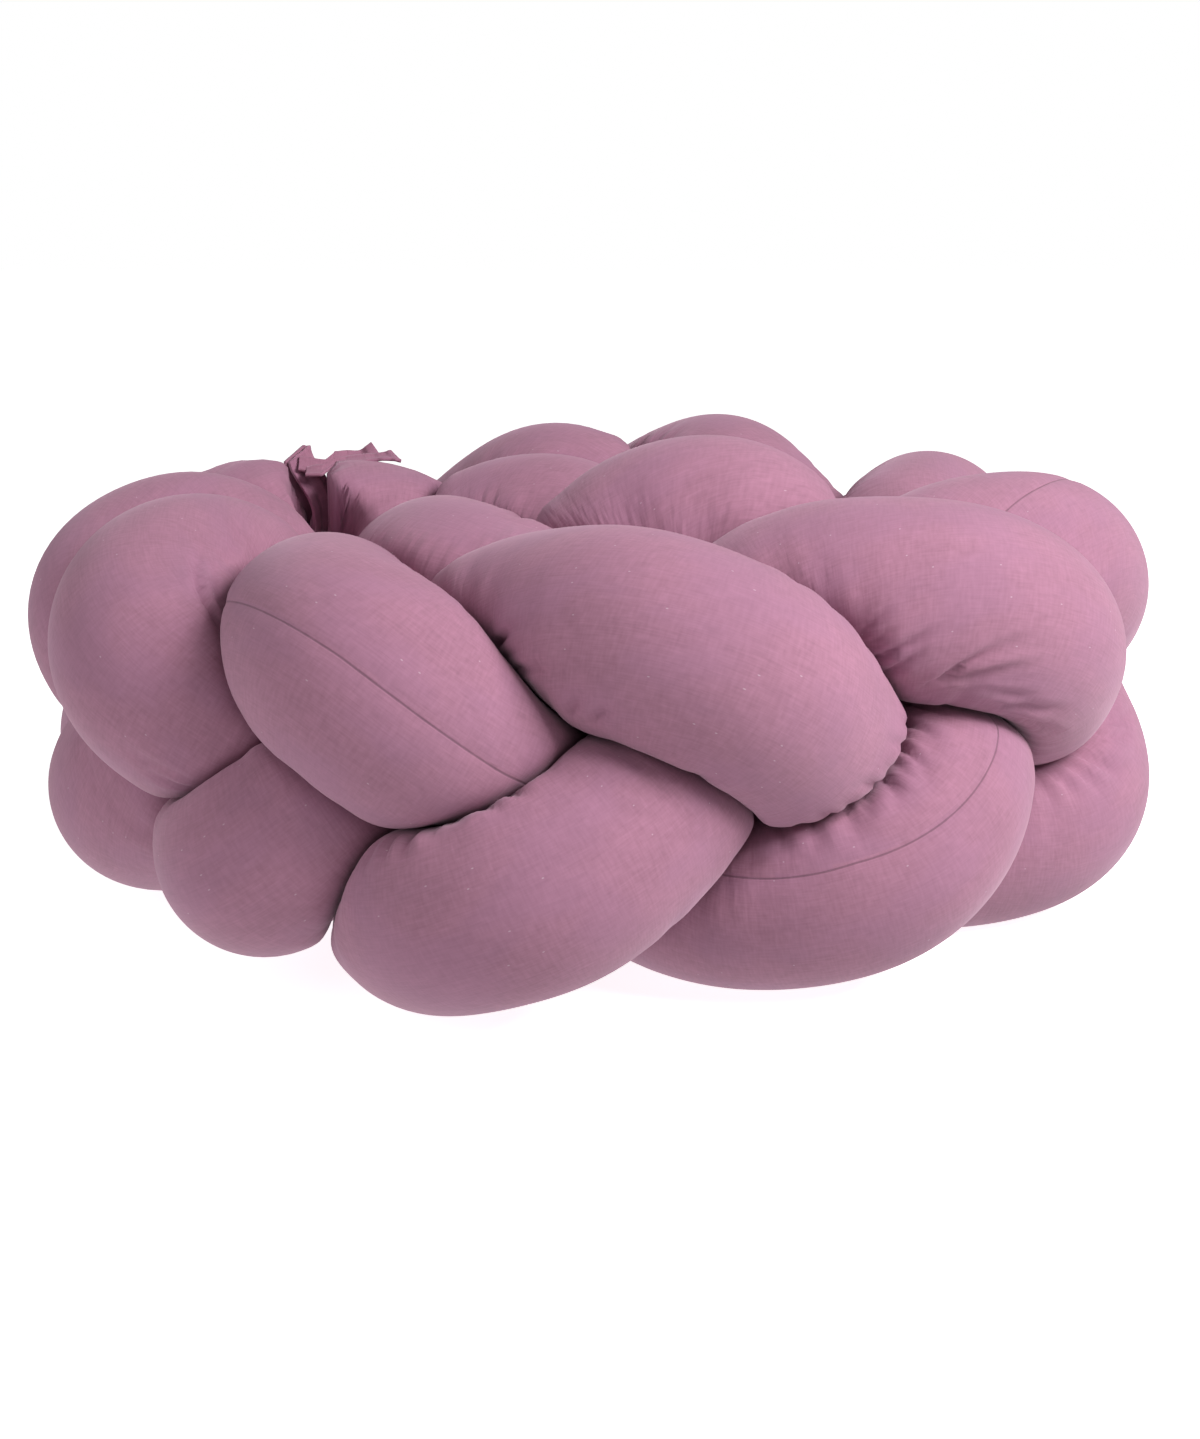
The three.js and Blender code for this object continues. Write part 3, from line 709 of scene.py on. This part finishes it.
CREST_LOWEST = 110.0
CREST_START = 14.0
CREST_STEP = 4.0
CREST_PAST_END = 6.0
CREST_LINES = 40
CREST_SMOOTHING = 7


def crest(across):
    """Points of tube b's skyline beside the band, as the camera sees it, for places to the right."""
    points = tube_skins["b"].reshape(-1, 3)
    root = band_point(BAND_TOP, TIE_ROOT_BEYOND, 0.0)
    near = (np.abs(points[:, :2] - root[:2]) < CREST_REACH).all(1) & (points[:, 2] > CREST_LOWEST)
    points = points[near]
    pitch = math.radians(CAMERA_PITCH)
    rise = points[:, 1] * math.sin(pitch) + points[:, 2] * math.cos(pitch)
    lines = np.linspace(root[0] + CREST_START, across.max() + CREST_PAST_END, CREST_LINES)
    tops = []
    for line in lines:
        beside = np.abs(points[:, 0] - line) < CREST_STEP
        tops.append(points[np.where(beside, rise, -np.inf).argmax(), 1:])
    tops = np.array(tops)
    kernel = np.ones(CREST_SMOOTHING) / CREST_SMOOTHING
    padded = np.pad(tops, ((CREST_SMOOTHING // 2, CREST_SMOOTHING // 2), (0, 0)), mode="edge")
    tops = np.stack([np.convolve(padded[:, k], kernel, "valid") for k in range(2)], 1)
    return np.stack([np.interp(across, lines, tops[:, k]) for k in range(2)], 1)


def tie_sheet(name, length, rows):
    """One tie's cloth, from its root at the band to its free end, laid along the crest of tube b."""
    rng = np.random.default_rng(len(name) + length)
    share = np.linspace(0, 1, TIE_ROWS)
    read = read_table(rows, 0, share * (len(rows) - 1))
    root = band_point(BAND_TOP, TIE_ROOT_BEYOND, 0.0)
    top = crest(root[0] + read[:, 0])
    tilt = np.radians(read[:, 3])
    across = np.linspace(-1, 1, TIE_COLUMNS)
    phase = rng.uniform(0, 2 * np.pi)
    cup = (TIE_CUP * across ** 2 - TIE_CUP_SINK) * TIE_CUP_SHARE
    wave = TIE_WAVE * np.sin(share[:, None] * TIE_WAVE_TURN + phase + across[None, :] * TIE_WAVE_SLANT)
    lift = cup[None, :] + wave
    middle = np.zeros((TIE_ROWS, TIE_COLUMNS, 3))
    middle[..., 0] = (root[0] + read[:, 0])[:, None] + across * TIE_CUT * share[:, None] ** 3
    side = across[None, :] * TIE_WIDTH / 2
    middle[..., 1] = (top[:, 0] + read[:, 1])[:, None] - side * np.cos(tilt)[:, None] \
        - lift * np.sin(tilt)[:, None]
    middle[..., 2] = (top[:, 1] + read[:, 2])[:, None] - side * np.sin(tilt)[:, None] \
        + lift * np.cos(tilt)[:, None]
    normal = np.cross(np.gradient(middle, axis=1), np.gradient(middle, axis=0))
    normal /= np.linalg.norm(normal, axis=2)[..., None]
    cloth = np.stack([np.repeat(side, TIE_ROWS, 0), np.repeat(share[:, None] * length, TIE_COLUMNS, 1)], 2)
    hem = 1 + TIE_HEM_EXTRA * smoothstep(np.abs(across), *TIE_HEM)
    thick = TIE_CLOTH * hem[None, :] * np.ones((TIE_ROWS, 1))
    piece = thin_sheet(f"{name}_cloth", middle + COIL_MIDDLE, normal, thick, cloth)
    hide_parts(name)
    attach(piece, "root")
    return piece


band = band_sheet()
ties = [tie_sheet(name, *rows) for name, rows in TIES.items()]


# Materials
class Nodes:
    """Short calls for building one material's node tree."""

    def __init__(self, name):
        self.material = bpy.data.materials.new(name)
        self.material.use_nodes = True
        self.tree = self.material.node_tree
        self.shader = self.tree.nodes["Principled BSDF"]

    def add(self, kind, inputs=None, **settings):
        node = self.tree.nodes.new(kind)
        for key, value in settings.items():
            setattr(node, key, value)
        for key, value in (inputs or {}).items():
            self.set(node.inputs[key], value)
        return node

    def set(self, socket, value):
        if isinstance(value, bpy.types.NodeSocket):
            self.tree.links.new(value, socket)
        else:
            socket.default_value = value

    def math(self, operation, a, b=0.0, c=0.0):
        return self.add("ShaderNodeMath", {0: a, 1: b, 2: c}, operation=operation).outputs[0]

    def attribute(self, name, output="Fac"):
        return self.add("ShaderNodeAttribute", attribute_name=name).outputs[output]

    def band(self, value, low, high, out_low=0.0, out_high=1.0):
        return self.add("ShaderNodeMapRange", {"Value": value, "From Min": low, "From Max": high,
                                               "To Min": out_low, "To Max": out_high},
                        interpolation_type="SMOOTHSTEP").outputs["Result"]

    def noise(self, place, scale, detail=2.0):
        """Noise over stretched cloth coordinates. scale is features per mm each way."""
        stretched = self.add("ShaderNodeVectorMath", {0: place, 1: scale}, operation="MULTIPLY").outputs[0]
        texture = self.add("ShaderNodeTexNoise", {"Vector": stretched, "Scale": 1.0, "Detail": detail})
        return texture.outputs["Fac"]

    def tint(self, colour, other, factor):
        return self.add("ShaderNodeMix", {"Factor": factor, "A": colour, "B": other},
                        data_type="RGBA").outputs[2]


def cloth_material(name, colour, is_tube):
    """Matte plain weave with uneven threads, soft mottling and specks of lint.

    A tube also has its seam and gathers.
    """
    n = Nodes(name)
    shader = n.shader
    shader.inputs["Roughness"].default_value = CLOTH_ROUGHNESS
    shader.inputs["Specular IOR Level"].default_value = CLOTH_SPECULAR
    shader.inputs["Sheen Weight"].default_value = SHEEN
    shader.inputs["Sheen Roughness"].default_value = SHEEN_ROUGHNESS
    shader.inputs["Sheen Tint"].default_value = SHEEN_TINT
    place = n.attribute("cloth", "Vector")
    warp = n.noise(place, (THREADS_ACROSS, THREADS_ALONG, 0), 1.0)
    weft = n.noise(place, (THREADS_ALONG, THREADS_ACROSS, 0), 1.0)
    threads = n.math("ADD", n.math("MULTIPLY", warp, 0.5), n.math("MULTIPLY", weft, 0.5))
    mottle = n.noise(place, (MOTTLES, MOTTLES, 0), 3.0)
    dusty = n.noise(place, (DUST, DUST, 0), 3.0)
    shades = n.add("ShaderNodeValToRGB")
    low, high = shades.color_ramp.elements
    low.position, high.position = SHADE_STOPS
    low.color = tuple(c * DARK_SHADE for c in colour) + (1,)
    high.color = tuple(min(c * LIGHT_SHADE, 1) for c in colour) + (1,)
    mix = n.math("ADD", n.math("MULTIPLY", threads, THREAD_SHARE),
                 n.math("ADD", n.math("MULTIPLY", mottle, MOTTLE_SHARE),
                        n.math("MULTIPLY", dusty, DUST_SHARE)))
    n.set(shades.inputs["Fac"], mix)
    colour_out = shades.outputs["Color"]
    bluer = tuple(np.array(colour) * BLUER) + (1,)
    tone = n.band(n.noise(place, (TONES, TONES, 0), 2.0), *TONE_STOPS, 0.0, TONE_MOST)
    colour_out = n.tint(colour_out, bluer, tone)
    cells = n.add("ShaderNodeTexVoronoi", {"Vector": place, "Scale": LINT_PLACES}, voronoi_dimensions="2D")
    lot = n.add("ShaderNodeSeparateColor", {"Color": cells.outputs["Color"]}).outputs[0]
    chosen = n.math("GREATER_THAN", lot, LINT_THRESHOLD)
    speck = n.math("MULTIPLY", n.band(cells.outputs["Distance"], *LINT_SIZES, LINT_STRENGTH, 0.0), chosen)
    colour_out = n.tint(colour_out, LINT_COLOUR, speck)
    bump = n.add("ShaderNodeBump", {"Strength": 0.5, "Distance": THREAD_BUMP, "Height": threads})
    if is_tube:
        parts = n.add("ShaderNodeSeparateXYZ", {"Vector": place})
        from_seam = n.math("PINGPONG", parts.outputs["X"], math.pi * PLUMP_RADIUS)
        waver = n.math("MULTIPLY", n.noise(place, SEAM_WAVER, 2.0), SEAM_WAVER_SIZE)
        line = n.band(n.math("SUBTRACT", from_seam, waver), *SEAM_LINE, 1.0, 0.0)
        seam_colour = tuple(c * SEAM_SHADE for c in colour) + (1,)
        colour_out = n.tint(colour_out, seam_colour, n.math("MULTIPLY", line, SEAM_STRENGTH))
        seam_bump = n.add("ShaderNodeBump", {"Strength": 1.0, "Distance": SEAM_BUMP,
                                             "Height": n.band(from_seam, *SEAM_GROOVE, 0.0, 1.0),
                                             "Normal": bump.outputs["Normal"]})
        fine = n.noise(place, FINE_WRINKLES, 2.5)
        broad = n.noise(place, BROAD_WRINKLES, 2.0)
        wrinkle = n.math("ADD", n.math("MULTIPLY", fine, FINE_WRINKLE_SHARE), n.math("MULTIPLY", broad, 1.0))
        wrinkle = n.math("MULTIPLY", wrinkle, n.attribute("gather"))
        bump = n.add("ShaderNodeBump", {"Strength": 1.0, "Distance": WRINKLE_BUMP, "Height": wrinkle,
                                        "Normal": seam_bump.outputs["Normal"]})
    n.set(shader.inputs["Base Color"], colour_out)
    n.set(shader.inputs["Normal"], bump.outputs["Normal"])
    return n.material


CLOTH_ROUGHNESS = 0.9
CLOTH_SPECULAR = 0.25
SHEEN = 0.28
SHEEN_ROUGHNESS = 0.5
SHEEN_TINT = (0.9, 0.68, 0.8, 1)
# Noise features per mm of cloth
THREADS_ACROSS = 1.15
THREADS_ALONG = 0.14
MOTTLES = 0.05
DUST = 0.35
TONES = 0.03
LINT_PLACES = 0.14
SEAM_WAVER = (0.02, 0.3, 0)
FINE_WRINKLES = (0.035, 0.28, 0)
BROAD_WRINKLES = (0.02, 0.13, 0)
# How much each noise counts, where it starts and is full, and what it does to the colour
THREAD_SHARE = 0.5
MOTTLE_SHARE = 0.26
DUST_SHARE = 0.24
FINE_WRINKLE_SHARE = 0.5
SHADE_STOPS = (0.36, 0.64)
DARK_SHADE = 0.86
LIGHT_SHADE = 1.14
BLUER = (0.93, 0.97, 1.09)
TONE_STOPS = (0.4, 0.66)
TONE_MOST = 0.3
LINT_SIZES = (0.02, 0.055)
LINT_STRENGTH = 0.45
# The seam's line and groove: distances from its middle (mm), and the line's shade and strength
SEAM_WAVER_SIZE = 0.3
SEAM_LINE = (0.05, 0.42)
SEAM_GROOVE = (0.1, 0.9)
SEAM_SHADE = 0.3
SEAM_STRENGTH = 0.55
# Heights of the bumps (m)
THREAD_BUMP = 0.00025
SEAM_BUMP = 0.0002
WRINKLE_BUMP = 0.0028
TUBE_COLOUR = (0.338, 0.155, 0.226)
BAND_COLOUR = (0.315, 0.137, 0.203)
LINT_COLOUR = (0.62, 0.48, 0.54, 1)
LINT_THRESHOLD = 0.92

tube_cloth = cloth_material("tube_cloth", TUBE_COLOUR, True)
for piece in tubes:
    piece.data.materials.append(tube_cloth)
band.data.materials.append(cloth_material("band_cloth", BAND_COLOUR, False))
tie_cloth = cloth_material("tie_cloth", BAND_COLOUR, False)
for piece in ties:
    piece.data.materials.append(tie_cloth)

# Floor and light: a white studio whose floor sends little light back up under the object (m)
FLOOR_HALF = 9.0
FLOOR_DROP = 0.0006
FLOOR_GLOW = 0.8
FLOOR_COLOUR = (0.8, 0.8, 0.8, 1)
FLOOR_ROUGHNESS = 0.95
WHITE = (1, 1, 1, 1)
floor_mesh = bpy.data.meshes.new("floor")
floor_mesh.from_pydata([(-FLOOR_HALF, -FLOOR_HALF, 0), (FLOOR_HALF, -FLOOR_HALF, 0),
                        (FLOOR_HALF, FLOOR_HALF, 0), (-FLOOR_HALF, FLOOR_HALF, 0)], [], [(0, 1, 2, 3)])
floor = bpy.data.objects.new("floor", floor_mesh)
floor.location = (0, 0, -FLOOR_DROP)
floor.visible_diffuse = False
bpy.context.scene.collection.objects.link(floor)
floor_material = bpy.data.materials.new("floor")
floor_material.use_nodes = True
floor_shader = floor_material.node_tree.nodes["Principled BSDF"]
floor_shader.inputs["Base Color"].default_value = FLOOR_COLOUR
floor_shader.inputs["Roughness"].default_value = FLOOR_ROUGHNESS
floor_shader.inputs["Emission Color"].default_value = WHITE
floor_shader.inputs["Emission Strength"].default_value = FLOOR_GLOW
floor_mesh.materials.append(floor_material)

bpy.context.scene.view_settings.view_transform = "Standard"
world = bpy.data.worlds.new("world")
bpy.context.scene.world = world
world.use_nodes = True
sky = world.node_tree
direction = sky.nodes.new("ShaderNodeTexCoord").outputs["Generated"]
up = sky.nodes.new("ShaderNodeSeparateXYZ")
sky.links.new(direction, up.inputs["Vector"])


def sky_step(source, low, high, out_low, out_high):
    """A smooth change of the sky's strength across one direction. Each end is a number or another step."""
    step = sky.nodes.new("ShaderNodeMapRange")
    step.interpolation_type = "SMOOTHSTEP"
    sky.links.new(up.outputs[source], step.inputs["Value"])
    for key, value in {"From Min": low, "From Max": high, "To Min": out_low, "To Max": out_high}.items():
        if isinstance(value, bpy.types.NodeSocket):
            sky.links.new(value, step.inputs[key])
        else:
            step.inputs[key].default_value = value
    return step.outputs["Result"]


# The sky's strengths, and the directions between which each step goes from one to the next
SKY_FRONT, SKY_BACK, SKY_HORIZON, SKY_BELOW = 0.35, 0.24, 1.0, 1.0
STEP_OVERHEAD = (-0.4, 0.4)
STEP_ROUND = (0.2, 0.6)
STEP_UP = (0.1, 0.24)
STEP_BELOW = (-0.3, -0.12)
above = sky_step("Y", *STEP_OVERHEAD, SKY_FRONT, SKY_BACK)
around = sky_step("Y", *STEP_ROUND, SKY_FRONT, SKY_HORIZON)
upper = sky_step("Z", *STEP_UP, around, above)
whole = sky_step("Z", *STEP_BELOW, SKY_BELOW, upper)
background = sky.nodes["Background"]
background.inputs["Color"].default_value = WHITE
sky.links.new(whole, background.inputs["Strength"])


def soft_light(name, place, aim, size, power):
    """A square studio light (m, W) that faces a point."""
    data = bpy.data.lights.new(name, "AREA")
    data.shape = "SQUARE"
    data.size = size
    data.energy = power
    light = bpy.data.objects.new(name, data)
    light.location = place
    direction = np.array(aim) - np.array(place)
    yaw = math.atan2(direction[1], direction[0])
    light.rotation_euler = (math.acos(-direction[2] / np.linalg.norm(direction)), 0, yaw - math.pi / 2)
    bpy.context.scene.collection.objects.link(light)


LIGHT_AIM = (0, 0, 0.1)
KEY_PLACE, KEY_SIZE, KEY_POWER = (1.05, -0.7, 1.1), 0.7, 31
FILL_PLACE, FILL_SIZE, FILL_POWER = (-1.6, -1.0, 0.9), 1.2, 9
soft_light("key", KEY_PLACE, LIGHT_AIM, KEY_SIZE, KEY_POWER)
soft_light("fill", FILL_PLACE, LIGHT_AIM, FILL_SIZE, FILL_POWER)

bpy.context.view_layer.update()
